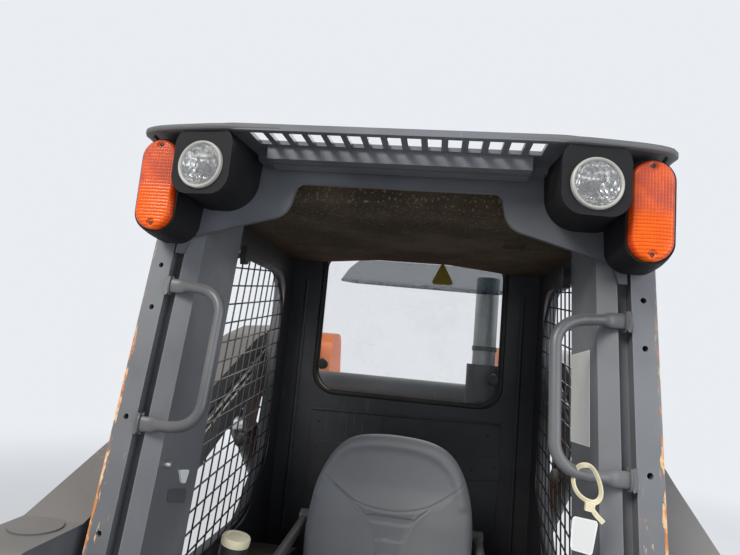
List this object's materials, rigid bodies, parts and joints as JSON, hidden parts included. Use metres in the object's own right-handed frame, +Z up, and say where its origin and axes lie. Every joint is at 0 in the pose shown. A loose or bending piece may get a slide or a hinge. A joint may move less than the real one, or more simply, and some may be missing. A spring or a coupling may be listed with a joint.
{
  "type": "skid steer loader",
  "caption": "Compact wheeled loader with a roll-over cab, radial lift arms, quick coupler and bucket; it steers by driving each side's wheels.",
  "frame": {"origin": "on the ground at the middle of the machine's length and width", "axes": "+Z up, the machine faces -Y, +X is the side seen at the right from its front"},
  "size_m": [1.7, 3.4, 2.095],
  "materials": {
    "chassis_black": "satin",
    "cab_grey": "satin, chipped",
    "seal_rubber": "matt",
    "window_glass": "clear",
    "headliner_moulding": "dusty",
    "screen_black": "satin",
    "lamp_black": "grained",
    "lamp_clear": "clear",
    "lens_amber": "ribbed",
    "handle_grey": "worn",
    "seat_vinyl": "grained vinyl",
    "console_plastic": "grained",
    "lever_black": "matt",
    "body_orange": "worn gloss",
    "engine_iron": "rough",
    "stack_steel": "galvanised",
    "sleeve_black": "heat dulled",
    "lens_red": "ribbed",
    "arm_grey": "worn",
    "line_steel": "zinc plated",
    "cylinder_black": "satin",
    "rod_chrome": "polished",
    "bucket_steel": "scraped",
    "tyre_rubber": "dusty",
    "rim_paint": "worn"
  },
  "bodies": {
    "chassis": {"main_frame": "chassis_black", "axle_tubes": "chassis_black", "cab_posts": "cab_grey", "cab_sides": "cab_grey", "cab_rear_wall": "cab_grey", "rear_seal": "seal_rubber", "rear_glass": "window_glass", "cab_header": "cab_grey", "roof_panel": "cab_grey", "headliner": "headliner_moulding", "cab_floor": "chassis_black", "side_screens": "screen_black", "lamp_pods": "lamp_black", "headlamps": "lamp_clear", "marker_lenses": "lens_amber", "grab_handles": "handle_grey", "seat_back": "seat_vinyl", "seat_cushion": "seat_vinyl", "seat_base": "chassis_black", "consoles": "console_plastic", "control_levers": "lever_black", "rear_uprights": "body_orange", "engine_hood": "body_orange", "engine_block": "engine_iron", "counterweight": "chassis_black", "exhaust_stack": "stack_steel", "stack_sleeve": "sleeve_black", "rear_lamps": "lens_red"},
    "lift_frame": {"lift_arms": "arm_grey", "cross_tubes": "arm_grey", "hydraulic_lines": "line_steel"},
    "lift_barrel": {"lift_barrels": "cylinder_black"},
    "lift_rod": {"lift_rods": "rod_chrome"},
    "tilt_barrel": {"tilt_barrels": "cylinder_black"},
    "tilt_rod": {"tilt_rods": "rod_chrome"},
    "tool": {"coupler": "chassis_black", "bucket": "bucket_steel"},
    "lap_guard": {"lap_bar": "handle_grey"},
    "grille_door": {"rear_door": "body_orange", "rear_grille": "screen_black"},
    "wheel_front_left": {"tyre_front_left": "tyre_rubber", "rim_front_left": "rim_paint"},
    "wheel_front_right": {"tyre_front_right": "tyre_rubber", "rim_front_right": "rim_paint"},
    "wheel_rear_left": {"tyre_rear_left": "tyre_rubber", "rim_rear_left": "rim_paint"},
    "wheel_rear_right": {"tyre_rear_right": "tyre_rubber", "rim_rear_right": "rim_paint"}
  },
  "joints": [
    {"name": "lift_hinge", "type": "hinge", "parent": "chassis", "child": "lift_frame", "pos_m": [0, 1.25, 1.65], "axis": [-1, 0, 0], "range_deg": [0, 62]},
    {"name": "lift_barrel_hinge", "type": "hinge", "parent": "chassis", "child": "lift_barrel", "pos_m": [0, 1.33, 0.7], "axis": [-1, 0, 0], "range_deg": [0, 27.34]},
    {"name": "lift_rod_slide", "type": "slide", "parent": "lift_barrel", "child": "lift_rod", "axis": [0, -0.774, 0.6332], "range_m": [0, 0.58217]},
    {"name": "tilt_hinge", "type": "hinge", "parent": "lift_frame", "child": "tool", "pos_m": [0, -0.93, 0.33], "axis": [-1, 0, 0], "range_deg": [-85, 22]},
    {"name": "tilt_barrel_hinge", "type": "hinge", "parent": "lift_frame", "child": "tilt_barrel", "pos_m": [0, -0.7, 1.13], "axis": [-1, 0, 0], "range_deg": [-0.66, 2.55]},
    {"name": "tilt_rod_slide", "type": "slide", "parent": "tilt_barrel", "child": "tilt_rod", "axis": [0, -0.459, -0.8884], "range_m": [-0.06681, 0.25813]},
    {"name": "lap_bar_hinge", "type": "hinge", "parent": "chassis", "child": "lap_guard", "pos_m": [0, 0.25, 1.18], "axis": [-1, 0, 0], "range_deg": [0, 75]},
    {"name": "rear_door_hinge", "type": "hinge", "parent": "chassis", "child": "grille_door", "pos_m": [-0.408, 1.632, 0.9], "axis": [0, 0, 1], "range_deg": [0, 100]},
    {"name": "wheel_front_left_spin", "type": "hinge", "parent": "chassis", "child": "wheel_front_left", "pos_m": [0.7, -0.23, 0.41], "axis": [1, 0, 0], "continuous": true},
    {"name": "wheel_front_right_spin", "type": "hinge", "parent": "chassis", "child": "wheel_front_right", "pos_m": [-0.7, -0.23, 0.41], "axis": [1, 0, 0], "continuous": true},
    {"name": "wheel_rear_left_spin", "type": "hinge", "parent": "chassis", "child": "wheel_rear_left", "pos_m": [0.7, 0.85, 0.41], "axis": [1, 0, 0], "continuous": true},
    {"name": "wheel_rear_right_spin", "type": "hinge", "parent": "chassis", "child": "wheel_rear_right", "pos_m": [-0.7, 0.85, 0.41], "axis": [1, 0, 0], "continuous": true}
  ],
  "couplings": [
    {"joint": "lift_barrel_hinge", "follows": "lift_hinge", "ratio": 0.441},
    {"joint": "lift_rod_slide", "follows": "lift_hinge", "m_per_rad": 0.538},
    {"joint": "tilt_barrel_hinge", "follows": "tilt_hinge", "ratio": -0.03},
    {"joint": "tilt_rod_slide", "follows": "tilt_hinge", "m_per_rad": -0.174}
  ]
}
